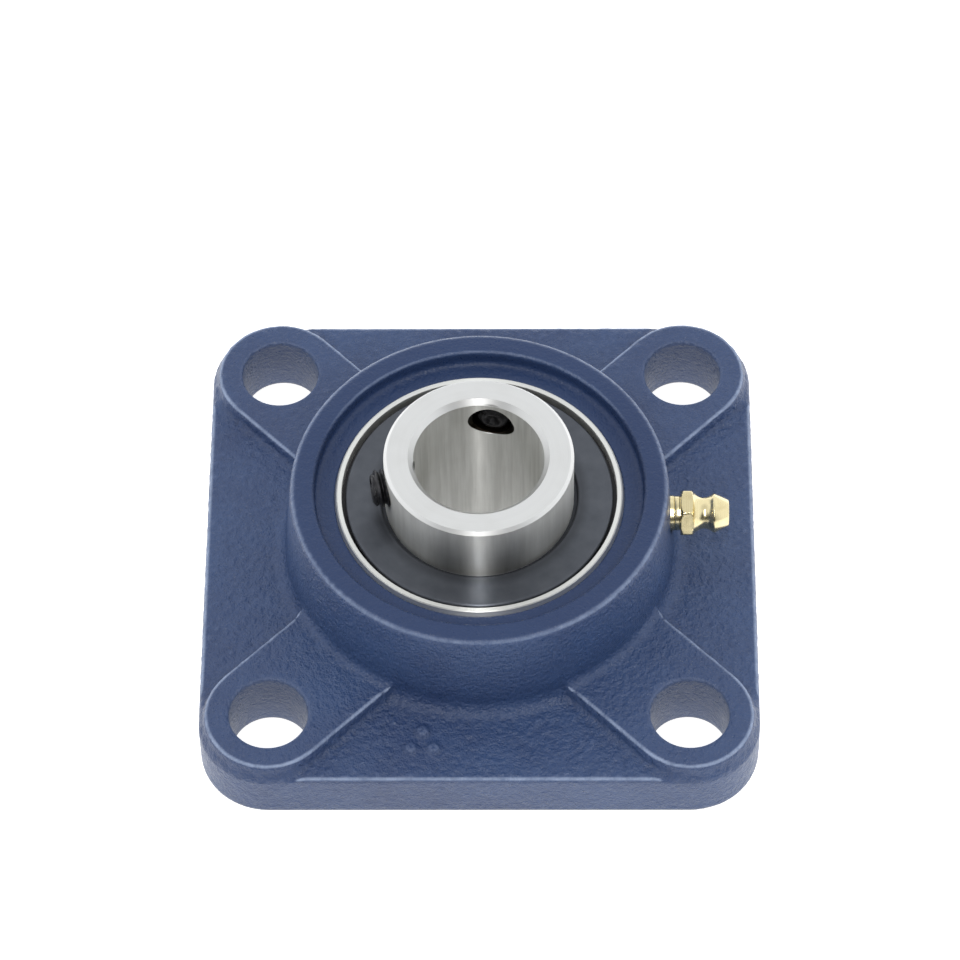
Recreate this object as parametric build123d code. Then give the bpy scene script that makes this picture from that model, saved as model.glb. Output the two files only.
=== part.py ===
"""Square four-bolt flange housing with a wide-inner-ring insert ball bearing, millimetres.

Origin: centre of the mounting face. +Z: along the shaft axis, away from the mounting face.
+X: towards the grease nipple. One STEP file per separate piece of the assembly.
"""

from build123d import *
from math import cos, radians, sin, sqrt
import os

# ---- flange and hub of the cast housing ----
flange_width = 85.5
bolt_spacing = 64.0
bolt_hole_r = 6.0
pad_top_z = 11.0
pocket_floor_z = 9.0
pad_r = 10.0
flange_edge_r = 0.7
mounting_edge_r = 0.5
pad_edge_r = 0.9
hub_face_z = 25.5
hub_top_r = 29.0
hub_base_r = 30.3
hub_edge_r = 1.0
hub_foot_fillet_r = 2.5
pad_foot_fillet_r = 1.6
recess_r = 25.3
recess_floor_z = 22.8
recess_rim_r = 0.4
recess_foot_r = 0.8
rear_chamfer = 1.0
cast_mark_x = -8.6
cast_mark_y = -36.1
cast_mark_r = 2.0
cast_pip_r = 0.95
cast_pip_count = 3
cast_mark_height = 0.5

# ---- insert bearing ----
bearing_centre_z = 15.0
ring_sphere_r = 23.5
seat_clearance = 0.03
outer_ring_width = 17.0
outer_ring_bore_r = 19.3
seal_seat_r = 21.15
seal_seat_depth = 3.3
loading_slot_play = 0.4
shaft_r = 10.0
inner_ring_r = 14.5
inner_ring_top_z = 33.3
inner_ring_length = 31.0
inner_ring_chamfer = 0.5
inner_bore_chamfer = 0.8
outer_ring_chamfer = 0.1
outer_ring_bore_edge = 0.05

# ---- balls and cage ----
ball_count = 8
ball_r = 7.938 / 2
ball_pitch_r = 16.75
race_clearance = 0.03
race_conformity = 1.04
cage_inner_r = 15.3
cage_outer_r = 18.2
cage_sheet = 0.6
cage_pocket_play = 0.08
rivet_r = 0.5
rivet_head_r = 0.95
rivet_head_height = 0.35

# ---- seals and slingers, heights measured outwards from the bearing centre plane ----
seal_shell_inner_r = 16.0
seal_shell_low = 5.6
seal_shell_sheet = 0.5
seal_shell_rim = 0.9
seal_rim_sheet = 0.5
lip_outer_r = 18.6
lip_low = 4.9
lip_bead_r = 15.4
lip_clearance = 0.05
slinger_outer_r = 20.55
slinger_low = 6.5
slinger_rim_low = 6.8
slinger_face = 8.0
slinger_sheet = 0.6
slinger_collar_r = 15.2
slinger_bend = 0.35

# ---- set screws ----
screw_angles = (79.0, 190.0)
screw_z = 28.5
screw_hole_r = 3.0
screw_sink_far = 10.15
screw_sink_near = 9.0
screw_sink_slope = 0.8
screw_r = 2.95
thread_depth = 0.5
thread_pitch = 1.0
screw_turns = 5
screw_tips = (10.3, 11.6)
screw_tip_r = 1.6
screw_cup_r = 1.1
screw_cup_depth = 0.5
socket_across_flats = 3.0
socket_depth = 2.6

# ---- grease nipple, lengths measured outwards from its seat on the hub wall ----
nipple_z = 18.0
nipple_seat_x = 30.0
nipple_thread_r = 3.0
nipple_thread_length = 4.2
grease_drill_r = 1.25
nipple_drill_r = 0.75
nipple_countersink = 1.0
nipple_head_rise = 0.4
collar_r = 2.7
collar_length = 0.95
nipple_hex_flats = 6.8
nipple_hex_turn = 35
nipple_hex_chamfer = 0.3
nipple_hex_end = 2.8
nipple_cone_end = 3.9
nipple_neck_end = 5.0
nipple_neck_r = 2.15
nipple_head_start_r = 2.9
nipple_head_r = 3.15
nipple_head_x = 6.0
nipple_tip_r = 2.05
nipple_tip_x = 8.4
nipple_mouth_r = 0.75
nipple_cavity_r = 1.25
nipple_cavity_end = 6.9
nipple_step_x = 1.6
nipple_seat_end = 7.7
check_ball_r = 1.1
check_ball_x = 6.75
check_ball_gap = 0.04
spring_wire_r = 0.14
spring_coil_r = 0.9
spring_turns = 6

grease_groove_width = 1.8
grease_groove_depth = 0.55
grease_hole_r = 0.8

# ---- derived sizes ----
flange_corner_r = (flange_width - bolt_spacing) / 2
bolt_circle_d = bolt_spacing * sqrt(2)
seat_r = ring_sphere_r + seat_clearance
seat_half_width = recess_floor_z - bearing_centre_z
seat_mouth_r = sqrt(seat_r**2 - seat_half_width**2)
seat_low_z = bearing_centre_z - seat_half_width
ring_half_width = outer_ring_width / 2
ring_face_r = sqrt(ring_sphere_r**2 - ring_half_width**2)
race_r = ball_r * race_conformity
outer_race_centre_r = ball_pitch_r + ball_r + race_clearance - race_r
inner_race_centre_r = ball_pitch_r - ball_r - race_clearance + race_r
inner_ring_low_z = inner_ring_top_z - inner_ring_length
ball_step = 360 / ball_count
margin = 1.0


def at(radius, height):
    """Point of a turned profile: distance from the axis, and height."""
    return (radius, 0, height)


def turned(*outline):
    """Solid of revolution about Z from a closed straight-sided outline of (radius, height)."""
    points = [at(*p) for p in outline]
    return revolve(make_face(Polyline(*points, close=True)), Axis.Z)


def turned_edges(*edges):
    """Solid of revolution about Z from a closed chain of lines and arcs."""
    return revolve(make_face(Curve() + list(edges)), Axis.Z)


def round_arc(start, end, centre):
    """The shorter arc from start to end about a centre, all in the profile plane."""
    first, last, middle = Vector(*at(*start)), Vector(*at(*end)), Vector(*at(*centre))
    direction = ((first + last) / 2 - middle).normalized()
    return ThreePointArc(first, middle + direction * (first - middle).length, last)


def path(*points):
    """Straight stretch of a profile through the given (radius, height) points."""
    return Polyline(*[at(*p) for p in points])


def disc(radius, low, high):
    """Upright cylinder about Z between two heights."""
    return Pos(0, 0, low) * Cylinder(radius, high - low, align=(Align.CENTER, Align.CENTER, Align.MIN))


def radial_rod(radius, near, far, angle, height):
    """Cylinder that points outwards from the Z axis, between two distances from it."""
    rod = Cylinder(radius, far - near, align=(Align.CENTER, Align.CENTER, Align.MIN))
    return Rot(0, 0, angle) * Pos(near, 0, height) * Rot(0, 90, 0) * rod


def mirrored_to_rear(shape):
    """The same piece on the mounting side of the bearing centre plane."""
    return mirror(shape, Plane.XY.offset(bearing_centre_z))


# ---- housing ----
def flange_plate():
    """Square plate with corners concentric with the bolt holes and rounded edges."""
    plate = extrude(RectangleRounded(flange_width, flange_width, flange_corner_r), pocket_floor_z)
    plate = fillet(plate.faces().sort_by(Axis.Z)[-1].edges(), flange_edge_r)
    return fillet(plate.faces().sort_by(Axis.Z)[0].edges(), mounting_edge_r)


def pad_band(angle, height):
    """Raised band through two opposite bolt holes, rounded at both ends."""
    return extrude(Rot(0, 0, angle) * SlotCenterToCenter(bolt_circle_d, 2 * pad_r), height)


def bolt_pads():
    """Two crossing bands with a rounded top edge."""
    pads = []
    for angle in (45, 135):
        band = pad_band(angle, pad_top_z)
        pads.append(fillet(band.faces().sort_by(Axis.Z)[-1].edges(), pad_edge_r))
    return pads[0] + pads[1]


def hub_wall_r(height):
    """Radius of the drafted hub wall at a height."""
    share = (height - pocket_floor_z) / (hub_face_z - pocket_floor_z)
    return hub_base_r + (hub_top_r - hub_base_r) * share


def foot_ring(floor_z, radius):
    """Concave ring that blends the hub wall into a floor."""
    wall_r = hub_wall_r(floor_z + radius)
    inside_r, outside_r = wall_r - margin, wall_r + radius
    low, high = floor_z - margin, floor_z + radius
    arc = round_arc((outside_r, floor_z), (wall_r, high), (outside_r, high))
    end = path((wall_r, high), (inside_r, high), (inside_r, low), (outside_r, low), (outside_r, floor_z))
    return turned_edges(arc, end)


def hub():
    """Drafted round hub with a rounded top edge."""
    edge_low = hub_face_z - hub_edge_r
    wall = path((0, 0), (hub_base_r, 0), (hub_base_r, pocket_floor_z), (hub_wall_r(edge_low), edge_low))
    flat_r = hub_wall_r(edge_low) - hub_edge_r
    edge = round_arc((hub_wall_r(edge_low), edge_low), (flat_r, hub_face_z), (flat_r, edge_low))
    return turned_edges(wall, edge, path((flat_r, hub_face_z), (0, hub_face_z), (0, 0)))


def bearing_cavity():
    """Rear mouth, spherical seat and front recess, as the solid that is cut away."""
    rear = path((0, -margin), (seat_mouth_r + rear_chamfer, -margin), (seat_mouth_r + rear_chamfer, 0),
                (seat_mouth_r, rear_chamfer), (seat_mouth_r, seat_low_z))
    seat = ThreePointArc(at(seat_mouth_r, seat_low_z), at(seat_r, bearing_centre_z),
                         at(seat_mouth_r, recess_floor_z))
    foot_r, foot_z = recess_r - recess_foot_r, recess_floor_z + recess_foot_r
    rim_r, rim_z = recess_r + recess_rim_r, hub_face_z - recess_rim_r
    floor = path((seat_mouth_r, recess_floor_z), (foot_r, recess_floor_z))
    foot = round_arc((foot_r, recess_floor_z), (recess_r, foot_z), (foot_r, foot_z))
    wall = path((recess_r, foot_z), (recess_r, rim_z))
    rim = round_arc((recess_r, rim_z), (rim_r, hub_face_z), (rim_r, rim_z))
    top = path((rim_r, hub_face_z), (rim_r, hub_face_z + margin), (0, hub_face_z + margin), (0, -margin))
    return turned_edges(rear, seat, floor, foot, wall, rim, top)


def loading_slots():
    """Slots at the back through which the insert goes in edge-on before it is turned flat."""
    width = outer_ring_width + loading_slot_play
    bar = Box(width, 2 * seat_r + margin, bearing_centre_z, align=(Align.CENTER, Align.CENTER, Align.MIN))
    return disc(seat_r, 0, bearing_centre_z) & bar


def cast_mark():
    """Three raised foundry pips on the front pocket floor."""
    low = pocket_floor_z - margin
    high = pocket_floor_z + cast_mark_height
    pips = [spot * disc(cast_pip_r, low, high) for spot in PolarLocations(cast_mark_r, cast_pip_count, 90)]
    return Pos(cast_mark_x, cast_mark_y, 0) * Compound(children=pips)


def housing():
    """Cast flange, pads and hub with every hole cut."""
    body = flange_plate() + bolt_pads() + hub() + foot_ring(pocket_floor_z, hub_foot_fillet_r)
    pad_foot = foot_ring(pad_top_z, pad_foot_fillet_r)
    for angle in (45, 135):
        body += pad_foot & pad_band(angle, hub_face_z)
    body += cast_mark()
    body -= bearing_cavity()
    body -= loading_slots()
    for spot in GridLocations(bolt_spacing, bolt_spacing, 2, 2):
        body -= spot * disc(bolt_hole_r, -margin, pad_top_z + margin)
    thread_end = nipple_seat_x - nipple_thread_length
    body -= radial_rod(nipple_thread_r, thread_end, hub_base_r + margin, 0, nipple_z)
    body -= radial_rod(grease_drill_r, seat_mouth_r - margin, thread_end, 0, nipple_z)
    return body


# ---- insert rings ----
def outer_ring():
    """Spherical outer ring with raceway, seal seats and a grease groove with two holes."""
    low, high = bearing_centre_z - ring_half_width, bearing_centre_z + ring_half_width
    rim_r = ring_face_r - outer_ring_chamfer
    ball_shape = Pos(0, 0, bearing_centre_z) * Sphere(ring_sphere_r)
    blank = turned((0, low), (rim_r, low), (ring_face_r, low + outer_ring_chamfer),
                   (ring_sphere_r + margin, low + outer_ring_chamfer),
                   (ring_sphere_r + margin, high - outer_ring_chamfer),
                   (ring_face_r, high - outer_ring_chamfer), (rim_r, high), (0, high))
    land_low, land_high = low + seal_seat_depth, high - seal_seat_depth
    edge = outer_ring_bore_edge
    mouth_r = seal_seat_r + edge
    bore = turned((0, low - margin), (mouth_r, low - margin), (mouth_r, low), (seal_seat_r, low + edge),
                  (seal_seat_r, land_low), (outer_ring_bore_r, land_low), (outer_ring_bore_r, land_high),
                  (seal_seat_r, land_high), (seal_seat_r, high - edge), (mouth_r, high),
                  (mouth_r, high + margin), (0, high + margin))
    ring = (ball_shape & blank) - bore
    ring -= Pos(0, 0, bearing_centre_z) * Torus(outer_race_centre_r, race_r)
    groove_low, groove_high = nipple_z - grease_groove_width / 2, nipple_z + grease_groove_width / 2
    offset = nipple_z - bearing_centre_z
    groove_r = sqrt(ring_sphere_r**2 - offset**2) - grease_groove_depth
    ring -= disc(ring_sphere_r + margin, groove_low, groove_high) - disc(groove_r, groove_low, groove_high)
    for angle in (0, 180):
        ring -= radial_rod(grease_hole_r, outer_ring_bore_r - margin, ring_sphere_r, angle, nipple_z)
    return ring


def screw_hole(angle):
    """Radial screw hole through the inner ring, countersunk where it opens into the bore."""
    rod = radial_rod(screw_hole_r, shaft_r - margin, inner_ring_r + margin, angle, screw_z)
    depth = screw_sink_far - screw_sink_near
    mouth_r = screw_hole_r + screw_sink_slope * depth
    sink = Cone(mouth_r, screw_hole_r, depth, align=(Align.CENTER, Align.CENTER, Align.MIN))
    return rod + Rot(0, 0, angle) * Pos(screw_sink_near, 0, screw_z) * Rot(0, 90, 0) * sink


def inner_ring():
    """Wide inner ring with raceway, bore for the shaft and two radial screw holes."""
    low, high = inner_ring_low_z, inner_ring_top_z
    edge, bore_edge = inner_ring_chamfer, inner_bore_chamfer
    ring = turned((shaft_r, low + bore_edge), (shaft_r + bore_edge, low), (inner_ring_r - edge, low),
                  (inner_ring_r, low + edge), (inner_ring_r, high - edge), (inner_ring_r - edge, high),
                  (shaft_r + bore_edge, high), (shaft_r, high - bore_edge))
    ring -= Pos(0, 0, bearing_centre_z) * Torus(inner_race_centre_r, race_r)
    for angle in screw_angles:
        ring -= screw_hole(angle)
    return ring


# ---- seals and slingers of the front side ----
def seal_shell():
    """Pressed steel seal carrier with a rim against the outer ring's seat."""
    low = bearing_centre_z + seal_shell_low
    top = low + seal_shell_sheet
    rim_top = low + seal_shell_rim
    return turned((seal_shell_inner_r, low), (seal_seat_r, low), (seal_seat_r, rim_top),
                  (seal_seat_r - seal_rim_sheet, rim_top), (seal_seat_r - seal_rim_sheet, top),
                  (seal_shell_inner_r, top))


def seal_lip():
    """Rubber lip bonded under the carrier, closing on the inner ring."""
    low = bearing_centre_z + lip_low
    top = bearing_centre_z + seal_shell_low
    inner = inner_ring_r + lip_clearance
    return turned((inner, low), (lip_outer_r, low + lip_clearance), (lip_outer_r, top),
                  (seal_shell_inner_r, top), (seal_shell_inner_r, top + seal_shell_sheet),
                  (lip_bead_r, top + seal_shell_sheet), (inner, top))


def slinger():
    """Thrower disc pressed on the inner ring, with a collar and a rim both bent towards the balls."""
    face = bearing_centre_z + slinger_face
    under = face - slinger_sheet
    rim_low = bearing_centre_z + slinger_rim_low
    low = bearing_centre_z + slinger_low
    rim_inner_r = slinger_outer_r - slinger_sheet
    bend = slinger_bend
    return turned((inner_ring_r, low), (slinger_collar_r, low), (slinger_collar_r, under),
                  (rim_inner_r, under), (rim_inner_r, rim_low), (slinger_outer_r, rim_low),
                  (slinger_outer_r, face - bend), (slinger_outer_r - bend, face),
                  (inner_ring_r + bend, face), (inner_ring_r, face - bend))


# ---- balls and cage ----
def ball_spot(index):
    """Centre of one ball on the pitch circle."""
    return Rot(0, 0, index * ball_step) * Pos(ball_pitch_r, 0, bearing_centre_z)


def cage_half():
    """Front half of the two-piece pressed cage: domed pockets joined by flat lands."""
    pocket_r = ball_r + cage_pocket_play
    low = bearing_centre_z
    high = low + pocket_r + cage_sheet
    band = disc(cage_outer_r, low, high) - disc(cage_inner_r, low, high)
    lands = disc(cage_outer_r, low, low + cage_sheet) - disc(cage_inner_r, low, low + cage_sheet)
    half = lands
    for index in range(ball_count):
        half += ball_spot(index) * Sphere(pocket_r + cage_sheet) & band
    for index in range(ball_count):
        half -= ball_spot(index) * Sphere(pocket_r)
    for index in range(ball_count):
        half -= rivet_spot(index) * disc(rivet_r, low - margin, low + cage_sheet + margin)
    return half


def rivet_spot(index):
    """Place of one rivet, midway between two balls."""
    return Rot(0, 0, (index + 0.5) * ball_step) * Pos(ball_pitch_r, 0, 0)


def cage_rivets():
    """The rivets that hold the cage halves together, as separate solids in one group."""
    low, high = bearing_centre_z - cage_sheet, bearing_centre_z + cage_sheet
    rivet = disc(rivet_r, low, high)
    rivet += disc(rivet_head_r, high, high + rivet_head_height)
    rivet += disc(rivet_head_r, low - rivet_head_height, low)
    return Compound(children=[rivet_spot(index) * rivet for index in range(ball_count)])


# ---- set screws ----
def thread_flank(start, turns, crest_r, direction):
    """Zigzag (radius, height) outline of thread ridges from a start height."""
    outline = []
    for turn in range(turns):
        base = start + direction * turn * thread_pitch
        outline.append((crest_r - thread_depth, base))
        outline.append((crest_r, base + direction * thread_pitch / 2))
    outline.append((crest_r - thread_depth, start + direction * turns * thread_pitch))
    return outline


def set_screw(angle, tip_distance):
    """Socket set screw with a cup point towards the shaft and a hexagon socket outside."""
    length = screw_turns * thread_pitch
    flank = thread_flank(0, screw_turns, screw_r, 1)
    screw = turned((0, screw_cup_depth), (screw_cup_r, 0), (screw_tip_r, 0), *flank[1:], (0, length))
    socket = extrude(RegularPolygon(socket_across_flats / 2, 6, major_radius=False), -socket_depth)
    screw -= Pos(0, 0, length) * socket
    return Rot(0, 0, angle) * Pos(tip_distance, 0, screw_z) * Rot(0, 90, 0) * screw


# ---- grease nipple, built upright and then laid along +X ----
def on_nipple_axis(shape):
    """Lay an upright piece, measured from the nipple's seat, along the nipple's axis."""
    return Pos(nipple_seat_x, 0, nipple_z) * Rot(0, 90, 0) * shape


def grease_nipple_body():
    """Brass body: threaded shank, collar, hexagon, neck and coupling head, drilled through."""
    start = -nipple_thread_length
    body = turned((0, start), (nipple_thread_r, start), (nipple_thread_r, 0), (collar_r, 0),
                  (collar_r, nipple_cone_end), (nipple_neck_r, nipple_cone_end),
                  (nipple_neck_r, nipple_neck_end),
                  (nipple_head_start_r, nipple_neck_end + nipple_head_rise),
                  (nipple_head_r, nipple_head_x), (nipple_tip_r, nipple_tip_x), (0, nipple_tip_x))
    hexagon = RegularPolygon(nipple_hex_flats / 2, 6, major_radius=False, rotation=nipple_hex_turn)
    hex_r = nipple_hex_flats / sqrt(3)
    cone = turned((0, collar_length), (nipple_hex_flats / 2, collar_length),
                  (hex_r, collar_length + nipple_hex_chamfer), (hex_r, nipple_hex_end),
                  (nipple_neck_r, nipple_cone_end), (0, nipple_cone_end))
    body += Pos(0, 0, collar_length) * extrude(hexagon, nipple_cone_end - collar_length) & cone
    body -= turned((0, start - margin), (grease_drill_r, start - margin), (grease_drill_r, start),
                   (nipple_drill_r, start + nipple_countersink), (nipple_drill_r, nipple_step_x),
                   (nipple_cavity_r, nipple_step_x), (nipple_cavity_r, nipple_cavity_end),
                   (nipple_mouth_r, nipple_seat_end), (nipple_mouth_r, nipple_tip_x + margin),
                   (0, nipple_tip_x + margin))
    return on_nipple_axis(body)


def nipple_check_ball():
    """Small ball that closes the nipple's mouth."""
    return on_nipple_axis(Pos(0, 0, check_ball_x) * Sphere(check_ball_r))


def nipple_spring():
    """Coil spring between the step in the nipple and the check ball."""
    low = nipple_step_x + spring_wire_r
    high = check_ball_x - sqrt((check_ball_r + spring_wire_r) ** 2 - spring_coil_r**2) - 2 * check_ball_gap
    length = high - low
    coil = Pos(0, 0, low) * Helix(length / spring_turns, length, spring_coil_r)
    wire = Plane(origin=coil @ 0, z_dir=coil % 0) * Circle(spring_wire_r)
    return on_nipple_axis(sweep(wire, path=coil))


pieces = {
    "housing": housing(),
    "grease_nipple_body": grease_nipple_body(),
    "nipple_spring": nipple_spring(),
    "nipple_check_ball": nipple_check_ball(),
    "outer_ring": outer_ring(),
    "seal_front_shell": seal_shell(),
    "seal_front_lip": seal_lip(),
    "seal_rear_shell": mirrored_to_rear(seal_shell()),
    "seal_rear_lip": mirrored_to_rear(seal_lip()),
    "inner_ring": inner_ring(),
    "slinger_front": slinger(),
    "slinger_rear": mirrored_to_rear(slinger()),
    "cage_front_half": cage_half(),
    "cage_rear_half": mirrored_to_rear(cage_half()),
    "cage_rivets": cage_rivets(),
}
for number, (angle, tip) in enumerate(zip(screw_angles, screw_tips), start=1):
    pieces[f"set_screw_{number}"] = set_screw(angle, tip)
for number in range(ball_count):
    pieces[f"ball_{number + 1}"] = ball_spot(number) * Sphere(ball_r)

os.makedirs("parts", exist_ok=True)
for name, piece in pieces.items():
    export_step(piece, f"parts/{name}.step")
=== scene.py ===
"""Looks for the flange mount bearing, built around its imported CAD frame.

Metres, +Z up, +X towards the grease nipple. Named sizes are in millimetres unless they say otherwise."""
from math import cos, pi, radians, sin, sqrt
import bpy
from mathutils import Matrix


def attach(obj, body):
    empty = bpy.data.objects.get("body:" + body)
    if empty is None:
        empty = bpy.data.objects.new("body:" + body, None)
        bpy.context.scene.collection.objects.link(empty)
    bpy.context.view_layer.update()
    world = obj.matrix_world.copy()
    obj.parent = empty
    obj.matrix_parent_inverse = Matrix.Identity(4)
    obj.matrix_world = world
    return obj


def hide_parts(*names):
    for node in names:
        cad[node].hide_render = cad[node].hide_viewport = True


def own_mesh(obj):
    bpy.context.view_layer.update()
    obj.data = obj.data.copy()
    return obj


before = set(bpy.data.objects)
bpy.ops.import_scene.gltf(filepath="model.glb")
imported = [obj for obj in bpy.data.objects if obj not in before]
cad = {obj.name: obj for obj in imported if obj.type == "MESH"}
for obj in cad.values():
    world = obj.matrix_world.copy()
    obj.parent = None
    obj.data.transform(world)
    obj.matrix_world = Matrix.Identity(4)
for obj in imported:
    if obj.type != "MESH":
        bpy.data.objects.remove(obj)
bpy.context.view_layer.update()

from types import SimpleNamespace

import bmesh
import bpy
import numpy as np
from mathutils import Matrix, Vector, noise

MM = 0.001
scene = bpy.context.scene

# ---- sizes that follow the CAD model, millimetres ----
HALF_SPACING = 32.0
PAD_R = 10.0
PAD_TOP = 11.0
POCKET_FLOOR = 9.0
HUB_FACE = 25.5
HUB_R = 29.0
RECESS_FLOOR = 22.8
RECESS_R = 25.3
CAST_MARK = (-8.6, -36.1)
SEAT_R = 23.53
SEAT_MOUTH_R = 22.2
BEARING_Z = 15.0
BOLT_HOLE_R = 6.0
SLINGER_R = 20.55
SHAFT_R = 10.0
INNER_RING_R = 14.5
NIPPLE_SEAT_X = 30.0
NIPPLE_Z = 18.0
NIPPLE_HOLE_R = 3.0
SCREW_ANGLES = (79.0, 190.0)
SCREW_Z = 28.5
SCREW_SINK_R = 4.0


# ---------------------------------------------------------------- mesh helpers
def new_object(name, mesh):
    """Link a new object for a mesh."""
    piece = bpy.data.objects.new(name, mesh)
    scene.collection.objects.link(piece)
    return piece


def mesh_object(name, points_mm, faces):
    """Object from points in millimetres and faces, with outward normals and smooth shading."""
    mesh = bpy.data.meshes.new(name)
    mesh.from_pydata([tuple(c * MM for c in p) for p in points_mm], [], faces)
    shell = bmesh.new()
    shell.from_mesh(mesh)
    bmesh.ops.recalc_face_normals(shell, faces=shell.faces)
    shell.to_mesh(mesh)
    shell.free()
    mesh.shade_smooth()
    return new_object(name, mesh)


def apply_modifiers(piece):
    """Bake a piece's modifiers into its mesh."""
    depsgraph = bpy.context.evaluated_depsgraph_get()
    mesh = bpy.data.meshes.new_from_object(piece.evaluated_get(depsgraph))
    piece.modifiers.clear()
    old = piece.data
    piece.data = mesh
    bpy.data.meshes.remove(old)


def lathe(name, outline, segments=192):
    """Piece turned about Z from a closed outline of (radius, height).

    A radius may be a function of the angle."""
    count = len(outline)
    points = []
    for k in range(segments):
        a = 2 * pi * k / segments
        for radius, z in outline:
            r = radius(a) if callable(radius) else radius
            points.append((r * cos(a), r * sin(a), z))
    faces = []
    for k in range(segments):
        base, next_base = k * count, (k + 1) % segments * count
        for i in range(count):
            j = (i + 1) % count
            faces.append((base + i, base + j, next_base + j, next_base + i))
    return mesh_object(name, points, faces)


def lay_out(piece, angle, start, height):
    """Lay an upright piece outwards at an angle, with its base at a distance from the shaft axis."""
    turn = Matrix.Rotation(radians(angle), 4, "Z")
    move = Matrix.Translation(Vector((start, 0, height)) * MM)
    piece.data.transform(turn @ move @ Matrix.Rotation(radians(90), 4, "Y"))


def sharpen(piece, degrees=35):
    """Smooth shading that keeps real corners sharp."""
    piece.data.set_sharp_from_angle(angle=radians(degrees))


def stand_for(piece, node, body, material):
    """A detailed piece takes a CAD node's place on its body."""
    give(piece, material)
    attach(piece, body)
    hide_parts(node)


# ---------------------------------------------------------------- numbers for vertices
def coordinates(mesh):
    """Vertex positions in millimetres."""
    values = np.empty(len(mesh.vertices) * 3)
    mesh.vertices.foreach_get("co", values)
    return values.reshape(-1, 3) / MM


def normals_of(mesh):
    """Vertex normals."""
    values = np.empty(len(mesh.vertices) * 3)
    mesh.vertices.foreach_get("normal", values)
    return values.reshape(-1, 3)


def set_coordinates(mesh, points):
    """Write positions in millimetres back to a mesh."""
    mesh.vertices.foreach_set("co", (points * MM).ravel())
    mesh.update()


def edges_of(mesh):
    """Vertex pairs of the mesh's edges."""
    values = np.empty(len(mesh.edges) * 2, np.int32)
    mesh.edges.foreach_get("vertices", values)
    return values.reshape(-1, 2)


def neighbour_mean(values, edges):
    """Average of each vertex's neighbours."""
    a, b = edges.T
    count = np.bincount(a, minlength=len(values)) + np.bincount(b, minlength=len(values))
    total = np.empty_like(values)
    for k in range(values.shape[1]):
        total[:, k] = np.bincount(a, values[b, k], len(values))
        total[:, k] += np.bincount(b, values[a, k], len(values))
    return total / np.maximum(count, 1)[:, None]


def relax(points, edges, weight, rounds):
    """Laplacian smoothing by a weight from 0 to 1 for each vertex."""
    for _ in range(rounds):
        points = points + (neighbour_mean(points, edges) - points) * weight[:, None]
    return points


def curvature(points, face, edges, rounds):
    """Bend of the surface at each vertex, positive in hollows, evened out over a few neighbours."""
    bend = np.einsum("ij,ij->i", neighbour_mean(points, edges) - points, face) / VOXEL**2
    return relax(bend[:, None], edges, np.full(len(bend), 0.5), rounds)[:, 0]


def ramp(values, low, high):
    """Smooth step from 0 at low to 1 at high."""
    t = np.clip((values - low) / (high - low), 0, 1)
    return t * t * (3 - 2 * t)


def band(values, low, high, soft):
    """1 between two limits, falling to 0 over a soft margin outside them."""
    return ramp(values, low - soft, low) * (1 - ramp(values, high, high + soft))


def noise_at(points, wavelength, offset):
    """Gradient noise sampled at points in millimetres."""
    scaled = points / wavelength + offset
    return np.array([noise.noise(Vector(p)) for p in scaled])


def store(mesh, name, values):
    """Keep a value for each vertex as a named attribute."""
    layer = mesh.attributes.new(name, "FLOAT", "POINT")
    layer.data.foreach_set("value", values.astype(np.float32))


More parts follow.
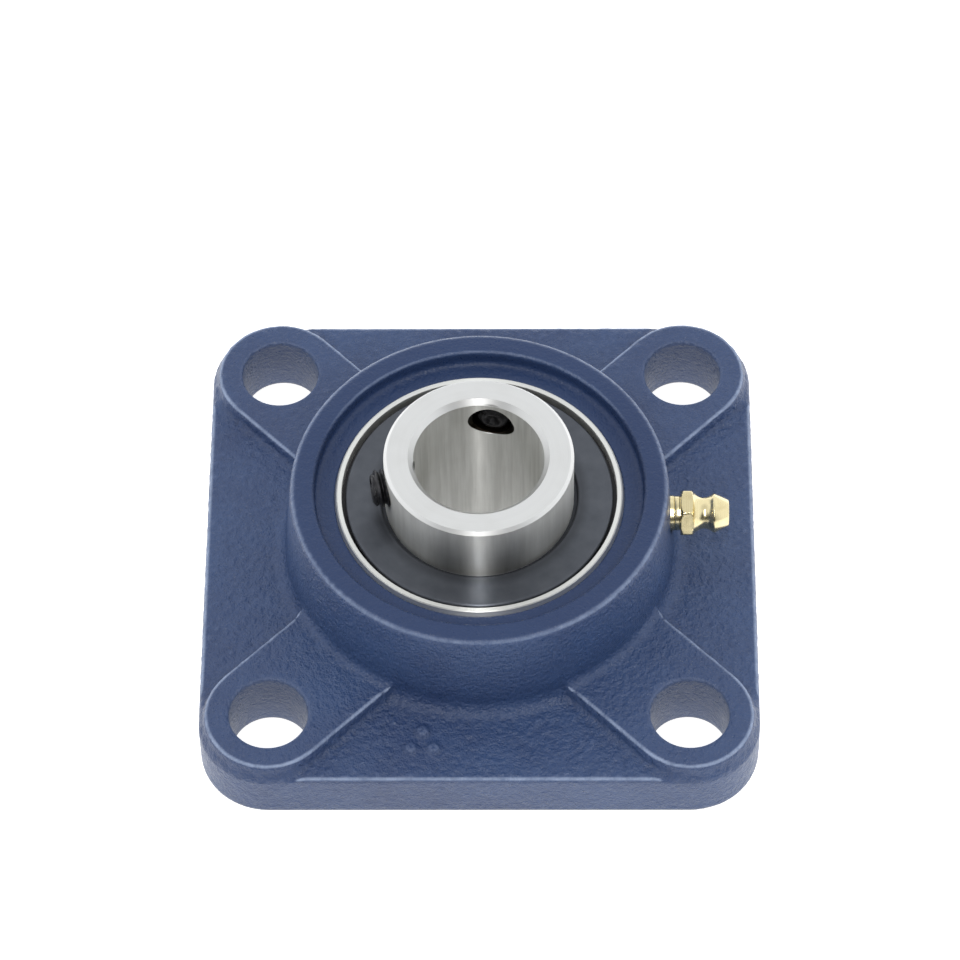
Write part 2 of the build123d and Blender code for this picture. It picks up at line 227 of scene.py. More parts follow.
# ---------------------------------------------------------------- material helpers
class Graph:
    """Small builder for a node tree."""

    def __init__(self, tree):
        self.tree = tree

    def add(self, kind, *inputs, out=0, **settings):
        """Add a node, fill its inputs in order (None leaves one), and return an output."""
        node = self.tree.nodes.new("ShaderNode" + kind)
        for key, value in settings.items():
            setattr(node, key, value)
        for socket, value in zip(node.inputs, inputs):
            self.feed(socket, value)
        return node.outputs[out]

    def feed(self, socket, value):
        """Link or set one input."""
        if value is None:
            return
        if isinstance(value, bpy.types.NodeSocket):
            self.tree.links.new(value, socket)
        else:
            socket.default_value = value

    def math(self, operation, a, b=None, c=None):
        """A scalar calculation."""
        return self.add("Math", a, b, c, operation=operation)

    def place(self):
        """Position in the piece's own frame, in metres."""
        return self.add("TexCoord", out=3)

    def noise(self, vector, scale, detail=2.0, rough=0.5):
        """Fractal noise from 0 to 1; scale is in cycles per metre."""
        return self.add("TexNoise", vector, None, scale, detail, rough)

    def spread(self, value, low, high, to_low=0.0, to_high=1.0):
        """Map a range to another, clamped."""
        return self.add("MapRange", value, low, high, to_low, to_high)

    def mix(self, factor, a, b):
        """Blend two colours."""
        node = self.tree.nodes.new("ShaderNodeMix")
        node.data_type = "RGBA"
        self.feed(node.inputs[0], factor)
        self.feed(node.inputs[6], a)
        self.feed(node.inputs[7], b)
        return node.outputs[2]

    def mix_value(self, factor, a, b):
        """Blend two numbers."""
        return self.math("ADD", self.math("MULTIPLY", a, self.math("SUBTRACT", 1.0, factor)),
                         self.math("MULTIPLY", b, factor))

    def attribute(self, name):
        """A value stored on the mesh."""
        return self.add("Attribute", attribute_name=name, out=2)

    def bump(self, height, distance, strength=1.0, normal=None):
        """Fine relief; distance is in metres."""
        node = self.tree.nodes.new("ShaderNodeBump")
        self.feed(node.inputs["Strength"], strength)
        self.feed(node.inputs["Distance"], distance)
        self.feed(node.inputs["Height"], height)
        self.feed(node.inputs["Normal"], normal)
        return node.outputs[0]

    def split(self, vector):
        """The three parts of a vector."""
        node = self.tree.nodes.new("ShaderNodeSeparateXYZ")
        self.feed(node.inputs[0], vector)
        return node.outputs

    def axis_distance(self, x, y):
        """Distance of a place from the shaft axis."""
        squares = self.math("ADD", self.math("MULTIPLY", x, x), self.math("MULTIPLY", y, y))
        return self.math("SQRT", squares)

    def round_place(self, scale_r, scale_z):
        """Vector of (radius, height): the same all round the shaft axis."""
        x, y, z = self.split(self.place())
        radius = self.math("MULTIPLY", self.axis_distance(x, y), scale_r)
        return self.add("CombineXYZ", radius, self.math("MULTIPLY", z, scale_z), 0.0)


class Nodes(Graph):
    """One node material with its main shader."""

    def __init__(self, name, **principled):
        self.material = bpy.data.materials.new(name)
        self.material.use_nodes = True
        super().__init__(self.material.node_tree)
        self.shader = self.tree.nodes["Principled BSDF"]
        self.set(**principled)

    def set(self, **inputs):
        """Feed the main shader's inputs by name."""
        for key, value in inputs.items():
            self.feed(self.shader.inputs[key.replace("_", " ").title()], value)


def colour(r, g, b):
    """Opaque linear colour."""
    return (r, g, b, 1.0)


# ---------------------------------------------------------------- materials
def cast_paint():
    """Satin navy paint over a sand casting: mottled, thin on edges and lighter there from a painted
    highlight, paler on the grain's crests from a painted highlight, darker in hollows from painted
    shade, bare where machined.
    """
    m = Nodes("cast_paint")
    where = m.place()
    blotch = m.noise(where, 60, 4, 0.6)
    grit = m.noise(where, 1300, 3, 0.6)
    fine = m.noise(where, 2600, 2, 0.5)
    deep = m.mix(m.spread(blotch, 0.35, 0.65), colour(0.026, 0.050, 0.130), colour(0.034, 0.067, 0.164))
    # paler paint on the convex crests of the grain: a painted highlight
    crest_highlight = m.spread(m.attribute("crest_highlight"), 0.12, 0.7, 0.0, 0.7)
    crest_highlit = m.mix(crest_highlight, deep, colour(0.13, 0.18, 0.32))
    # lighter edges: partly worn paint, partly a painted highlight on up-facing rims
    wear_and_sheen_patches = m.spread(m.noise(where, 420, 3, 0.6), 0.30, 0.60, 0.45, 0.95)
    edge = m.math("MULTIPLY", m.spread(m.attribute("edge"), 0.25, 0.9), wear_and_sheen_patches)
    worn = m.mix(edge, crest_highlit, colour(0.27, 0.335, 0.49))
    # darker paint in hollows, under rims and on the recess wall: painted shade
    painted_shade_amount = m.spread(m.attribute("painted_shade"), 0.1, 0.9, 0.0, 0.7)
    shaded = m.mix(painted_shade_amount, worn, colour(0.012, 0.024, 0.070))
    speck = m.spread(grit, 0.60, 0.75, 0.0, 0.35)
    speckled = m.mix(speck, shaded, colour(0.060, 0.095, 0.19))
    smooth = m.attribute("smooth")
    paint = m.mix(m.math("MULTIPLY", smooth, 0.75), speckled, colour(0.017, 0.035, 0.098))
    bare_noise = m.spread(m.noise(where, 300, 3), 0.3, 0.7, -0.12, 0.12)
    bare = m.spread(m.math("ADD", m.attribute("bare"), bare_noise), 0.42, 0.58)
    marks = m.noise(m.round_place(5200, 2600), 1.0, 3, 0.6)
    iron = m.mix(m.spread(marks, 0.3, 0.7), colour(0.17, 0.165, 0.16), colour(0.30, 0.29, 0.28))
    hole = m.mix(m.attribute("hole"), paint, m.mix(0.42, paint, colour(0.135, 0.175, 0.29)))
    m.set(base_color=m.mix(bare, hole, iron), metallic=m.math("MULTIPLY", bare, 0.85))
    rough = m.spread(m.noise(where, 900, 3), 0.3, 0.7, 0.26, 0.40)
    m.set(roughness=m.mix_value(bare, rough, 0.38))
    coarse = m.bump(grit, 0.00042, m.spread(smooth, 0.0, 1.0, 0.8, 0.3))
    relief = m.bump(fine, 0.00012, 0.6, coarse)
    m.feed(m.shader.inputs["Specular IOR Level"], m.spread(smooth, 0.0, 1.0, 0.5, 0.34))
    m.set(normal=m.bump(marks, 0.00001, m.math("MULTIPLY", bare, 0.8), relief))
    return m.material


# how fine the drawn marks are round the ring, and per metre along it
DRAWN_AROUND, DRAWN_ALONG = 11.0, 60.0


def near_screw_holes(m, x, y, z):
    """1 within a set screw hole's countersink, seen along the hole, and 0 elsewhere."""
    near = None
    for angle in SCREW_ANGLES:
        u, v = cos(radians(angle)), sin(radians(angle))
        along = m.math("ADD", m.math("MULTIPLY", x, u), m.math("MULTIPLY", y, v))
        side_step = m.math("SUBTRACT", m.math("MULTIPLY", x, v), m.math("MULTIPLY", y, u))
        across = m.axis_distance(side_step, m.math("SUBTRACT", z, SCREW_Z * MM))
        inside = m.math("MULTIPLY", m.spread(across, (SCREW_SINK_R + 0.3) * MM, SCREW_SINK_R * MM),
                        m.spread(along, (SHAFT_R - 2.0) * MM, (SHAFT_R - 1.8) * MM))
        near = inside if near is None else m.math("MAXIMUM", near, inside)
    return near


def inside_wall(m, radius):
    """1 inside the inner ring's wall, and 0 on its bore and its outside."""
    return m.math("MULTIPLY", m.spread(radius, (SHAFT_R + 0.02) * MM, (SHAFT_R + 0.06) * MM),
                  m.spread(radius, (INNER_RING_R - 0.04) * MM, (INNER_RING_R - 0.08) * MM))


def ring_steel():
    """Bearing steel ring: ground faces, turned outside, bright bore and screw holes darkened with
    painted shade.
    """
    m = Nodes("ring_steel", metallic=1.0, anisotropic_rotation=0.25)
    x, y, z = m.split(m.place())
    radius = m.axis_distance(x, y)
    flat = m.spread(m.math("ABSOLUTE", m.split(m.add("TexCoord", out=1))[2]), 0.50, 0.68)
    bore = m.spread(radius, (SHAFT_R + 2.0) * MM, (SHAFT_R + 1.0) * MM)
    rings = m.noise(m.round_place(9000, 6300), 1.0, 4, 0.7)
    cloud = m.noise(m.place(), 220, 3)
    side = m.mix(bore, colour(0.71, 0.71, 0.68), colour(0.86, 0.86, 0.83))
    around = m.add("CombineXYZ", m.math("MULTIPLY", m.math("DIVIDE", x, radius), DRAWN_AROUND),
                   m.math("MULTIPLY", m.math("DIVIDE", y, radius), DRAWN_AROUND),
                   m.math("MULTIPLY", z, DRAWN_ALONG))
    drawn = m.noise(around, 1.0, 4, 0.55)
    side = m.mix(m.spread(drawn, 0.60, 0.38, 0.0, 0.24), side, colour(0.33, 0.32, 0.29))
    tone = m.mix(flat, side, colour(0.725, 0.725, 0.715))
    worn = m.mix(m.spread(rings, 0.3, 0.7, 0.10, 0.0), tone, colour(0.30, 0.30, 0.29))
    steel = m.mix(m.spread(cloud, 0.45, 0.75, 0.0, 0.10), worn, colour(0.42, 0.40, 0.36))
    # screw hole walls painted dark as painted shade inside the holes
    painted_hole_shade = m.math("MULTIPLY", near_screw_holes(m, x, y, z), inside_wall(m, radius))
    m.set(base_color=m.mix(painted_hole_shade, steel, colour(0.030, 0.024, 0.018)))
    m.set(anisotropic=m.math("MULTIPLY", m.math("SUBTRACT", 1.0, m.math("MAXIMUM", flat, painted_hole_shade)), 0.99))
    m.set(roughness=m.mix_value(flat, m.spread(rings, 0.2, 0.8, 0.30, 0.33), 0.42))
    m.set(normal=m.bump(rings, 0.0000012, 0.5))
    m.set(tangent=m.add("Tangent", direction_type="RADIAL", axis="Z"))
    return m.material


def outer_steel():
    """Ground face of the outer ring, with fine circular marks."""
    m = Nodes("outer_ring_steel", metallic=1.0, anisotropic=0.8, anisotropic_rotation=0.25)
    rings = m.noise(m.round_place(9000, 6300), 1.0, 4, 0.7)
    m.set(base_color=m.mix(m.spread(rings, 0.3, 0.7), colour(0.74, 0.74, 0.71),
                           colour(0.86, 0.86, 0.83)))
    m.set(roughness=m.spread(rings, 0.2, 0.8, 0.34, 0.42))
    m.set(tangent=m.add("Tangent", direction_type="RADIAL", axis="Z"))
    return m.material


def polished_steel():
    """Lapped bearing balls."""
    m = Nodes("ball_polish", metallic=1.0, base_color=colour(0.72, 0.72, 0.73))
    m.set(roughness=m.spread(m.noise(m.place(), 1200, 2), 0.3, 0.7, 0.06, 0.12))
    return m.material


def pressed_steel():
    """Dull strip steel of the cage, seal carriers and spring."""
    m = Nodes("pressed_strip", metallic=1.0)
    cloud = m.noise(m.place(), 500, 4)
    m.set(base_color=m.mix(m.spread(cloud, 0.3, 0.7), colour(0.33, 0.32, 0.31),
                           colour(0.46, 0.45, 0.43)))
    m.set(roughness=m.spread(cloud, 0.3, 0.7, 0.30, 0.45))
    return m.material


def slinger_black():
    """Black-coated pressed disc with faint circular wear and painted shade in the crease by its collar.
    """
    m = Nodes("slinger_coating", metallic=0.7, anisotropic=0.85, anisotropic_rotation=0.25)
    rings = m.noise(m.round_place(4200, 2500), 1.0, 3, 0.6)
    cloud = m.noise(m.place(), 350, 4)
    base = m.mix(m.spread(cloud, 0.3, 0.7), colour(0.074, 0.081, 0.096), colour(0.097, 0.105, 0.122))
    rubbed = m.mix(m.spread(rings, 0.55, 0.8, 0.0, 0.4), base, colour(0.11, 0.12, 0.14))
    x, y, _ = m.split(m.place())
    radius = m.axis_distance(x, y)
    # painted shade in the crease between the disc's collar and the inner ring
    painted_crease_shade = m.spread(radius, 17.2 * MM, 15.9 * MM, 0.0, 0.45)
    m.set(base_color=m.mix(painted_crease_shade, rubbed, colour(0.022, 0.023, 0.027)))
    m.set(roughness=m.spread(rings, 0.2, 0.8, 0.30, 0.38))
    m.feed(m.shader.inputs["Specular IOR Level"], 0.65)
    m.set(normal=m.bump(rings, 0.000005, 0.5))
    m.set(tangent=m.add("Tangent", direction_type="RADIAL", axis="Z"))
    return m.material


def seal_rubber():
    """Matt black nitrile."""
    m = Nodes("seal_nitrile")
    cloud = m.noise(m.place(), 900, 4)
    m.set(base_color=m.mix(m.spread(cloud, 0.3, 0.7), colour(0.012, 0.012, 0.014),
                           colour(0.024, 0.024, 0.027)))
    m.set(roughness=m.spread(cloud, 0.3, 0.7, 0.55, 0.75))
    m.set(normal=m.bump(cloud, 0.00003, 0.4))
    return m.material


def black_oxide():
    """Oil-blackened alloy steel with rubbed crests."""
    m = Nodes("screw_black_oxide", metallic=0.9)
    cloud = m.noise(m.place(), 1400, 4)
    rubbed = m.spread(m.noise(m.place(), 3200, 3), 0.58, 0.72, 0.0, 0.4)
    base = m.mix(m.spread(cloud, 0.3, 0.7), colour(0.020, 0.020, 0.022), colour(0.045, 0.045, 0.048))
    m.set(base_color=m.mix(rubbed, base, colour(0.12, 0.12, 0.12)))
    m.set(roughness=m.spread(cloud, 0.3, 0.7, 0.26, 0.42))
    return m.material


def nipple_brass():
    """Bright machined brass with turning marks about the nipple's own axis."""
    m = Nodes("nipple_brass", metallic=1.0)
    along = m.split(m.place())[0]
    rings = m.noise(m.add("CombineXYZ", m.math("MULTIPLY", along, 6500), 0.0, 0.0), 1.0, 3, 0.7)
    stain = m.noise(m.place(), 700, 4)
    bright = m.mix(m.spread(rings, 0.3, 0.7), colour(0.74, 0.62, 0.34), colour(0.86, 0.76, 0.47))
    m.set(base_color=m.mix(m.spread(stain, 0.55, 0.8, 0.0, 0.4), bright, colour(0.50, 0.39, 0.19)))
    m.set(roughness=m.spread(stain, 0.3, 0.7, 0.17, 0.30))
    m.set(normal=m.bump(rings, 0.000008, 0.6))
    return m.material


# the floor's glow, a painted pool of light with a painted shadow under the hub: where it starts and is
# full round the hub, its strengths, and its end in front
GLOW_STARTS, GLOW_FULL = 28.0, 36.0
GLOW_IN_PAINTED_SHADOW, GLOW_OUTSIDE = 0.20, 0.72
GLOW_FRONT_EDGE, GLOW_FRONT_END = -78.0, -115.0


def studio_floor():
    """Plain pale sweep that glows as painted light, dimmed under the hub as a painted shadow."""
    m = Nodes("studio_floor", roughness=0.9)
    m.set(base_color=m.mix(m.spread(m.noise(m.place(), 4, 2), 0.3, 0.7), colour(0.84, 0.84, 0.85),
                           colour(0.86, 0.86, 0.865)))
    x, y, _ = m.split(m.place())
    # floor glow, a painted pool of light, dimmed to a painted shadow under the hub
    glow_pool = m.spread(m.axis_distance(x, y), GLOW_STARTS * MM, GLOW_FULL * MM, GLOW_IN_PAINTED_SHADOW, GLOW_OUTSIDE)
    glow = m.math("MULTIPLY", glow_pool, m.spread(y, GLOW_FRONT_END * MM, GLOW_FRONT_EDGE * MM))
    m.set(emission_color=colour(1.0, 1.0, 1.0), emission_strength=glow)
    return m.material


def give(piece, *materials):
    """Put materials in a piece's slots in place of any it has."""
    piece.data.materials.clear()
    for material in materials:
        piece.data.materials.append(material)


# ---------------------------------------------------------------- camera, floor and lights
CAMERA_PLACE = (8.12, -430.58, 638.56)
CAMERA_LENS = 183.6
CAMERA_TURN = (1.062, 54.851, -0.941)  # azimuth, elevation and roll, degrees


def make_camera():
    """Camera at the product view: 55 degrees above the floor, from the front."""
    data = bpy.data.cameras.new("product_camera")
    data.sensor_width = 36.0
    data.lens = CAMERA_LENS
    data.clip_start = 0.02
    data.clip_end = 20.0
    camera = bpy.data.objects.new("product_camera", data)
    azimuth, elevation, roll = (radians(turn) for turn in CAMERA_TURN)
    camera.location = Vector(CAMERA_PLACE) * MM
    forward = Vector((-sin(azimuth) * cos(elevation), cos(azimuth) * cos(elevation), -sin(elevation)))
    side = forward.cross(Vector((0, 0, 1))).normalized()
    up = side.cross(forward)
    right = side * cos(roll) + up * sin(roll)
    top = up * cos(roll) - side * sin(roll)
    camera.rotation_euler = Matrix((right, top, -forward)).transposed().to_euler()
    scene.collection.objects.link(camera)
    scene.camera = camera


def area_light(name, place_m, target_m, size_m, power_w):
    """Soft rectangular lamp aimed at a point."""
    data = bpy.data.lights.new(name, "AREA")
    data.shape = "RECTANGLE"
    data.size, data.size_y = size_m
    data.energy = power_w
    lamp = bpy.data.objects.new(name, data)
    lamp.location = place_m
    direction = Vector(target_m) - Vector(place_m)
    lamp.rotation_euler = direction.to_track_quat("-Z", "Y").to_euler()
    scene.collection.objects.link(lamp)


FRONT_LIGHT, WALL_LIGHT, ROOF_LIGHT = 0.05, 1.18, 0.80


def make_studio():
    """Pale floor that glows as painted light, a bright surround and one narrow lamp in front."""
    mesh = bpy.data.meshes.new("studio_floor")
    half = 3.0
    corners = [(-half, -half, 0), (half, -half, 0), (half, half, 0), (-half, half, 0)]
    mesh.from_pydata(corners, [], [(0, 1, 2, 3)])
    floor = new_object("studio_floor", mesh)
    give(floor, studio_floor())
    make_surround()
    area_light("front_strip", place_m=(0.0, -0.56, 0.86), target_m=(0, 0, 0.02),
               size_m=(0.05, 0.80), power_w=4.4)
    scene.view_settings.view_transform = "Standard"


def make_surround():
    """Light tent: bright at the back and sides, open and dark in front, soft overhead."""
    world = bpy.data.worlds.new("studio_surround")
    world.use_nodes = True
    g = Graph(world.node_tree)
    x, y, z = g.split(g.tree.nodes.new("ShaderNodeTexCoord").outputs["Generated"])
    side = g.spread(g.math("DIVIDE", g.math("ABSOLUTE", x), g.axis_distance(x, y)), 0.60, 0.82)
    back = g.spread(y, -0.25, 0.35)
    wall = g.spread(g.math("MAXIMUM", side, back), 0.0, 1.0, FRONT_LIGHT, WALL_LIGHT)
    roof = g.spread(z, 0.70, 0.97)
    dome = g.mix_value(roof, wall, ROOF_LIGHT)
    background = g.tree.nodes["Background"]
    g.feed(background.inputs[0], colour(0.96, 0.98, 1.0))
    g.feed(background.inputs[1], dome)
    scene.world = world


# ---------------------------------------------------------------- the casting
VOXEL = 0.34
SKIN_SMOOTHING, FOOT_SMOOTHING = 2, 14
RIM_BEND = (0.07, 0.22)  # bend per millimetre at which an edge begins and is full
# wavelength, offset in the noise, and height
GRAIN, PEBBLE, WAVE = (0.95, 11.3, 0.15), (1.9, 47.7, 0.06), (9.0, 3.1, 0.03)
# how much of the worn-edge lightening and painted highlight the hub's rim and the recess are spared (the
# recess share also sets the recess wall's painted shade), and the painted highlight the recess gets
# back, with less painted shade, towards +Y between two places
HUB_RIM_EDGE_CUT = 0.25
RECESS_SHADE_AND_EDGE_CUT = 0.85
RECESS_BACK_HIGHLIGHT = 0.60
RECESS_BACK_HIGHLIGHT_FROM, RECESS_BACK_HIGHLIGHT_FULL = 4.0, 18.0


def pad_distance(x, y):
    """Distance from the nearer diagonal between opposite bolt holes, ends included."""
    reach = HALF_SPACING * sqrt(2)
    nearest = None
    for sign in (1, -1):
        along = (x + sign * y) / sqrt(2)
        across = (x - sign * y) / sqrt(2)
        beyond = np.maximum(np.abs(along) - reach, 0)
        distance = np.hypot(across, beyond)
        nearest = distance if nearest is None else np.minimum(nearest, distance)
    return nearest


def hole_distance(x, y):
    """Distance from the nearest bolt hole's axis."""
    return np.hypot(np.abs(x) - HALF_SPACING, np.abs(y) - HALF_SPACING)


def round_rims(points):
    """Roll the edges of the bolt holes and of the seat's mouth over a small radius."""
    x, y, z = points.T.copy()
    centres = [(sx * HALF_SPACING, sy * HALF_SPACING) for sx in (-1, 1) for sy in (-1, 1)]
    # centre, radius, height of the face, 1 for a top edge or -1 for a bottom one, fillet
    rims = [(cx, cy, BOLT_HOLE_R, PAD_TOP, 1, 0.55) for cx, cy in centres]
    rims += [(cx, cy, BOLT_HOLE_R, 0.0, -1, 0.4) for cx, cy in centres]
    rims.append((0.0, 0.0, SEAT_MOUTH_R, RECESS_FLOOR, 1, 0.35))
    for cx, cy, rim_r, face_z, up, fillet in rims:
        reach = np.hypot(x - cx, y - cy)
        outwards = reach - rim_r - fillet
        inwards = (face_z - z) * up - fillet
        near = (outwards < 0) & (inwards < 0) & (outwards > -2 * fillet) & (inwards > -2 * fillet)
        shrink = fillet / np.hypot(outwards[near], inwards[near])
        new_reach = rim_r + fillet + outwards[near] * shrink
        x[near] = cx + (x[near] - cx) * new_reach / reach[near]
        y[near] = cy + (y[near] - cy) * new_reach / reach[near]
        z[near] = face_z - up * (fillet + inwards[near] * shrink)
    return np.column_stack((x, y, z))


def even_housing():
    """Copy of the CAD housing with even faces, snapped back on to it."""
    piece = new_object("cast_housing", cad["housing"].data.copy())
    remesh = piece.modifiers.new("even", "REMESH")
    remesh.mode = "VOXEL"
    remesh.voxel_size = VOXEL * MM
    snap = piece.modifiers.new("snap", "SHRINKWRAP")
    snap.target = cad["housing"]
    snap.wrap_method = "NEAREST_SURFACEPOINT"
    apply_modifiers(piece)
    return piece


def places_on_casting(points):
    """Each vertex's place on the housing, and whether it is bare metal or free to be rough."""
    x, y, z = points.T
    radius = np.hypot(x, y)
    from_hole = hole_distance(x, y)
    seat = (radius < SEAT_R + 0.2) & (z < RECESS_FLOOR - 0.9) & (z > 0.2)
    back = z < 0.25
    bore = from_hole < BOLT_HOLE_R + 0.6
    nipple_hole = (x > SEAT_R - 1) & (np.hypot(y, z - NIPPLE_Z) < NIPPLE_HOLE_R + 0.3)
    free = 1.0 - (seat | back | bore | nipple_hole).astype(float)
    return SimpleNamespace(radius=radius, from_hole=from_hole, off_band=pad_distance(x, y),
                           bare=seat | back, free=free)


def mark_clearance(x, y):
    """Lower round the three cast pips, which keep a calmer skin and fainter edge lightening, which is
    worn paint and painted highlight.
    """
    return 0.35 + 0.65 * ramp(np.hypot(x - CAST_MARK[0], y - CAST_MARK[1]), 3.4, 4.4)


def soften(points, edges, at):
    """Smooth the skin a little, the feet of the pads a lot, and roll the machined rims."""
    z = points[:, 2]
    foot = band(at.off_band, PAD_R - 0.4, PAD_R + 1.3, 0.4)
    foot = foot * band(z, POCKET_FLOOR - 0.6, PAD_TOP - 0.5, 0.4) * ramp(at.radius, 29.5, 30.5)
    points = relax(points, edges, at.free * 0.5, SKIN_SMOOTHING)
    points = relax(points, edges, at.free * foot * 0.5, FOOT_SMOOTHING)
    return round_rims(points)


def cast_grain(points, rim, at):
    """Height of the sand grain: coarse in the pockets, fine on the hub, faded at edges and rims."""
    x, y, z = points.T
    rough_floor = band(z, POCKET_FLOOR - 0.5, PAD_TOP + 0.4, 0.6) * ramp(at.radius, 30.0, 33.0)
    pocket = rough_floor * ramp(at.off_band, PAD_R, PAD_R + 1.5)
    skin = 0.30 + 0.50 * rough_floor + 0.35 * pocket
    grain, pebble, wave = (height * noise_at(points, length, offset)
                           for length, offset, height in (GRAIN, PEBBLE, WAVE))
    fade = at.free * ramp(at.from_hole, BOLT_HOLE_R + 0.2, BOLT_HOLE_R + 1.0)
    fade = fade * ramp(z, 0.3, 1.2) * (1 - 0.85 * rim) * mark_clearance(x, y)
    return ((grain + pebble) * skin + wave) * fade


def store_paint(mesh, smooth_points, face, rim, bend, at):
    """Keep what the paint needs: worn edges with painted highlight, painted highlight on crests, painted
    shade in hollows, smooth faces, bare iron and holes.
    """
    x, y, z = smooth_points.T
    up = face[:, 2]
    off_holes = ramp(hole_distance(x, y), BOLT_HOLE_R + 0.8, BOLT_HOLE_R + 1.4)
    inside_hub = 1 - ramp(at.radius, 26.5, 27.2)
    # the hub's rim gets less of the edge lightening, which is worn paint and painted highlight
    hub_rim_cut = 1 - HUB_RIM_EDGE_CUT * (1 - ramp(at.radius, HUB_R, HUB_R + 1.5))
    # painted shade on the recess wall, lifted towards +Y where a painted highlight is put back on the
    # recess edges
    recess_shade = RECESS_SHADE_AND_EDGE_CUT - RECESS_BACK_HIGHLIGHT * ramp(y, RECESS_BACK_HIGHLIGHT_FROM, RECESS_BACK_HIGHLIGHT_FULL)
    # edge lightening on up-facing rims: partly worn paint, partly a painted highlight
    worn = rim * ramp(up, 0.25, 0.65) * off_holes * hub_rim_cut * mark_clearance(x, y)
    worn = worn * (1 - recess_shade * inside_hub)
    worn = worn * ramp(at.radius, SEAT_MOUTH_R + 1.2, SEAT_MOUTH_R + 1.8)
    # painted shade on the downward-facing rims below the pads' tops
    under = rim * (1 - ramp(up, 0.15, 0.5)) * (1 - ramp(z, POCKET_FLOOR, PAD_TOP))
    recess_wall = band(at.radius, RECESS_R - 0.6, RECESS_R + 0.25, 0.2)
    recess_wall = recess_wall * band(z, RECESS_FLOOR + 0.1, HUB_FACE - 0.2, 0.15)
    # paler paint on convex crests: a painted highlight on the grain
    crest_highlight = np.clip(-bend * 1.3, 0, 1) * (1 - rim)
    # painted shade in hollows, on the recess wall and under rims
    shade = np.maximum(np.clip(bend * 1.6, 0, 1), recess_shade * recess_wall)
    shade = np.maximum(shade, 0.75 * under * ramp(z, 1.5, 3.0))
    smooth = ramp(z, RECESS_FLOOR - 0.4, RECESS_FLOOR - 0.1) * (1 - ramp(at.radius, 28.3, HUB_R))
    hole = hole_distance(*coordinates(mesh).T[:2])
    store(mesh, "edge", worn * at.free)
    store(mesh, "crest_highlight", crest_highlight * at.free)
    store(mesh, "painted_shade", shade * at.free)
    store(mesh, "smooth", smooth * (1 - worn))
    store(mesh, "bare", np.where(at.bare, 1.0, 0.0))
    store(mesh, "hole", 1 - ramp(hole, BOLT_HOLE_R + 0.1, BOLT_HOLE_R + 0.5))


def cast_housing():
    """The housing with a sand-cast skin: even, soft in its corners, rough where it was cast."""
    piece = even_housing()
    mesh = piece.data
    points, edges = coordinates(mesh), edges_of(mesh)
    at = places_on_casting(points)
    smooth_points = soften(points, edges, at)
    set_coordinates(mesh, smooth_points)
    face = normals_of(mesh)
    rim = ramp(-curvature(smooth_points, face, edges, 3), *RIM_BEND)
    rough_points = smooth_points + face * cast_grain(smooth_points, rim, at)[:, None]
    set_coordinates(mesh, rough_points)
    bend = curvature(rough_points, normals_of(mesh), edges, 2)
    store_paint(mesh, smooth_points, face, rim, bend, at)
    mesh.shade_smooth()
    stand_for(piece, "housing", "housing", cast_paint())


# ---------------------------------------------------------------- turned and threaded pieces
def hexagon(across_flats, turn=0.0):
    """Radius of a hexagon as a function of the angle."""
    def radius(angle):
        inside = (angle - radians(turn)) % (pi / 3) - pi / 6
        return across_flats / 2 / cos(inside)
    return radius


def thread_radius(z, crest, depth, pitch):
    """Radius of a right-hand thread at a height, as a function of the angle."""
    def radius(angle):
        turn = (z / pitch - angle / (2 * pi)) % 1.0
        flank = abs(turn - 0.5) * 2
        return crest - depth * min(1.0, max(0.0, flank * 1.25 - 0.12))
    return radius


SCREW_LENGTH = 5.0
SCREW_CREST = 2.94
SCREW_PITCH = 1.0
SCREW_TIPS = (10.3, 11.6)
THREAD_DEPTH = 0.5
ROWS_PER_PITCH = 14
SOCKET_FLATS = 3.0
SOCKET_DEPTH = 2.5


def set_screw(number, angle, tip, material):
    """Socket set screw: cup point, one helical thread with run-outs, chamfered hexagon socket."""
    point = [(0.0, 0.75), (0.7, 0.45), (1.1, 0.06), (1.35, 0.0), (1.75, 0.08)]
    thread = []
    rows = int(SCREW_LENGTH / SCREW_PITCH * ROWS_PER_PITCH)
    for k in range(rows + 1):
        z = 0.25 + (SCREW_LENGTH - 0.5) * k / rows
        fade = min(1.0, z / 0.9, (SCREW_LENGTH - z) / 0.7)
        crest = SCREW_CREST - 0.75 * (1 - fade)
        thread.append((thread_radius(z, crest, THREAD_DEPTH * fade, SCREW_PITCH), z))
    top = SCREW_LENGTH
    floor = top - SOCKET_DEPTH
    end = [(2.15, top - 0.06), (2.05, top)]
    socket = [(hexagon(SOCKET_FLATS + 0.5), top), (hexagon(SOCKET_FLATS + 0.04), top - 0.25),
              (hexagon(SOCKET_FLATS), top - 0.4), (hexagon(SOCKET_FLATS), floor),
              (0.5, floor - 0.45), (0.0, floor - 0.5)]
    piece = lathe(f"threaded_set_screw_{number}", point + thread + end + socket, 96)
    lay_out(piece, angle, tip, SCREW_Z)
    sharpen(piece, 40)
    stand_for(piece, f"set_screw_{number}", f"set_screw_{number}", material)


def arc_points(centre, radius, start, end, steps=8):
    """Points on an arc, angles in degrees."""
    spokes = [radians(start + (end - start) * k / steps) for k in range(steps + 1)]
    return [(centre[0] + radius * cos(a), centre[1] + radius * sin(a)) for a in spokes]


NIPPLE_FLATS = 6.8
NIPPLE_HEX_TURN = 35
NIPPLE_HEX_START, NIPPLE_HEX_END = 0.95, 2.95
NIPPLE_HEX_FOOT_R, NIPPLE_HEX_TOP_R = 3.15, 3.25
NIPPLE_WAIST_R = 2.4
NIPPLE_WAIST_Z = 4.6
NIPPLE_SHANK = 4.2
NIPPLE_TOP = 8.4
NIPPLE_MOUTH_R = 0.75
NIPPLE_CAVITY_R = 1.25


def waist_points(end, rise, steps=8):
    """Half of the nipple's waist, from its middle to an end where it has widened by a rise."""
    shares = [k / steps for k in range(steps + 1)]
    length = end - NIPPLE_WAIST_Z
    return [(NIPPLE_WAIST_R + rise * t**2, NIPPLE_WAIST_Z + length * t) for t in shares]


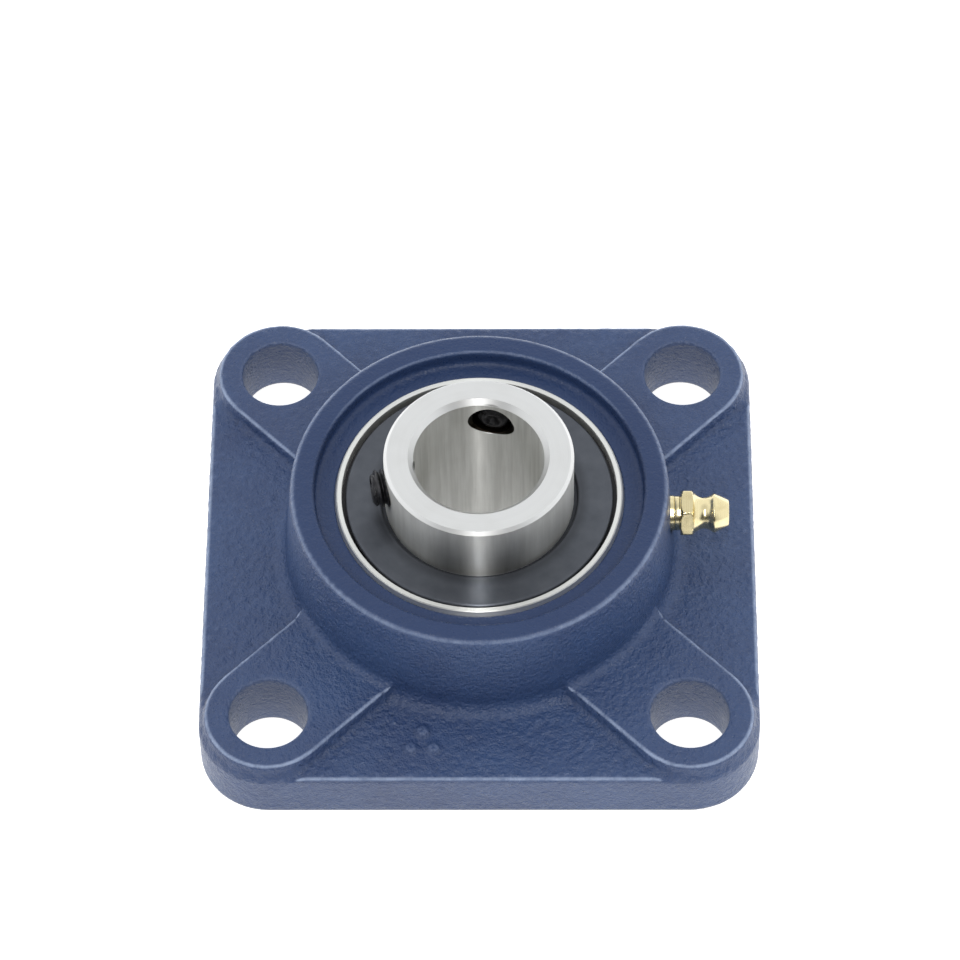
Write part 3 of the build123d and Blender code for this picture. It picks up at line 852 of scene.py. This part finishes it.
def grease_nipple(material):
    """Turned brass nipple: shank, collar, chamfered hexagon, waisted neck and coupling head."""
    flats = hexagon(NIPPLE_FLATS, NIPPLE_HEX_TURN)
    corner = NIPPLE_FLATS / sqrt(3)
    foot_rise, top_fall = corner - NIPPLE_HEX_FOOT_R, corner - NIPPLE_HEX_TOP_R

    def hex_row(z, limit):
        return (lambda a: min(flats(a), limit), z)

    low, top = -NIPPLE_SHANK, NIPPLE_TOP
    shank = [(NIPPLE_MOUTH_R, low), (2.7, low), (2.98, low + 0.3), (2.98, -1.3), (2.76, -1.05),
             (2.76, -0.1)]
    collar = [(2.62, -0.02), (2.68, 0.1), (2.68, 0.72), (2.6, 0.86), (2.6, 0.92),
              (2.9, NIPPLE_HEX_START)]
    hex_foot = [hex_row(NIPPLE_HEX_START + 0.45 * t, NIPPLE_HEX_FOOT_R + foot_rise * sqrt(t))
                for t in (0.05, 0.2, 0.4, 0.7, 1.0)]
    hex_top = [hex_row(NIPPLE_HEX_END - 0.5 * (1 - t), corner - top_fall * t * t)
               for t in (0, 0.3, 0.6, 0.8, 1.0)]
    waist = waist_points(3.0, 0.78)[::-1] + waist_points(5.95, 0.6)[1:]
    head = [(3.04, 6.03), (3.05, 6.12), (3.0, 6.26), (2.06, 8.28), (1.96, 8.37), (1.8, top)]
    mouth = [(0.95, top), (0.8, 8.34), (NIPPLE_MOUTH_R, 8.2), (NIPPLE_MOUTH_R, 7.7)]
    cavity = [(NIPPLE_CAVITY_R, 6.9), (NIPPLE_CAVITY_R, 1.6), (NIPPLE_MOUTH_R, 1.6)]
    outline = shank + collar + hex_foot + hex_top + waist + head + mouth + cavity
    piece = lathe("turned_grease_nipple", outline, 180)
    lay_out(piece, 0, NIPPLE_SEAT_X, NIPPLE_Z)
    sharpen(piece, 28)
    stand_for(piece, "grease_nipple_body", "housing", material)


def nipple_spring(material):
    """Coil spring behind the check ball, copied from its CAD node on to the housing."""
    piece = new_object("coiled_nipple_spring", cad["nipple_spring"].data.copy())
    stand_for(piece, "nipple_spring", "housing", material)
    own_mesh(piece)


def slinger(name, node, side, material):
    """Thrower disc: shallow dished face, rolled rim and a collar bent down on to the inner ring.

    Its heights are measured from the bearing's middle, up or down by side."""
    edge, bore = SLINGER_R, INNER_RING_R
    back = [(bore, 6.5), (15.15, 6.5), (15.2, 6.6), (15.2, 7.25), (15.35, 7.4), (edge - 0.8, 7.4)]
    rim = [(edge - 0.6, 7.2), (edge - 0.6, 6.85), (edge - 0.52, 6.8), (edge - 0.08, 6.8)]
    rim += [(edge, 6.88), (edge, 7.62)] + arc_points((edge - 0.38, 7.6), 0.38, 0, 90, 6)
    face = [(edge - 0.9, 7.94), (17.6, 7.93), (16.1, 7.96), (15.8, 7.98)]
    collar = arc_points((15.4, 7.72), 0.28, 70, 180, 6) + [(15.1, 7.3), (14.98, 7.16), (bore, 7.1)]
    outline = [(r, BEARING_Z + side * z) for r, z in back + rim + face + collar]
    piece = lathe(name, outline, 240)
    sharpen(piece, 50)
    stand_for(piece, node, "shaft_side", material)


# ---------------------------------------------------------------- all the pieces
def finish_pieces():
    """Give the CAD nodes that stay in view their materials, and make the small detailed pieces."""
    rubber, strip, ball = seal_rubber(), pressed_steel(), polished_steel()
    oxide, black = black_oxide(), slinger_black()
    finishes = {"inner_ring": ring_steel(), "outer_ring": outer_steel(), "seal_front_shell": rubber,
                "seal_rear_shell": rubber, "seal_front_lip": rubber, "seal_rear_lip": rubber,
                "cage_front_half": strip, "cage_rear_half": strip, "cage_rivets": strip,
                "nipple_check_ball": ball}
    finishes.update({name: ball for name in cad if name.startswith("ball_")})
    for name, material in finishes.items():
        give(cad[name], material)
    for number, (angle, tip) in enumerate(zip(SCREW_ANGLES, SCREW_TIPS), start=1):
        set_screw(number, angle, tip, oxide)
    grease_nipple(nipple_brass())
    nipple_spring(strip)
    slinger("front_slinger", "slinger_front", 1, black)
    slinger("rear_slinger", "slinger_rear", -1, black)


make_camera()
make_studio()
cast_housing()
finish_pieces()
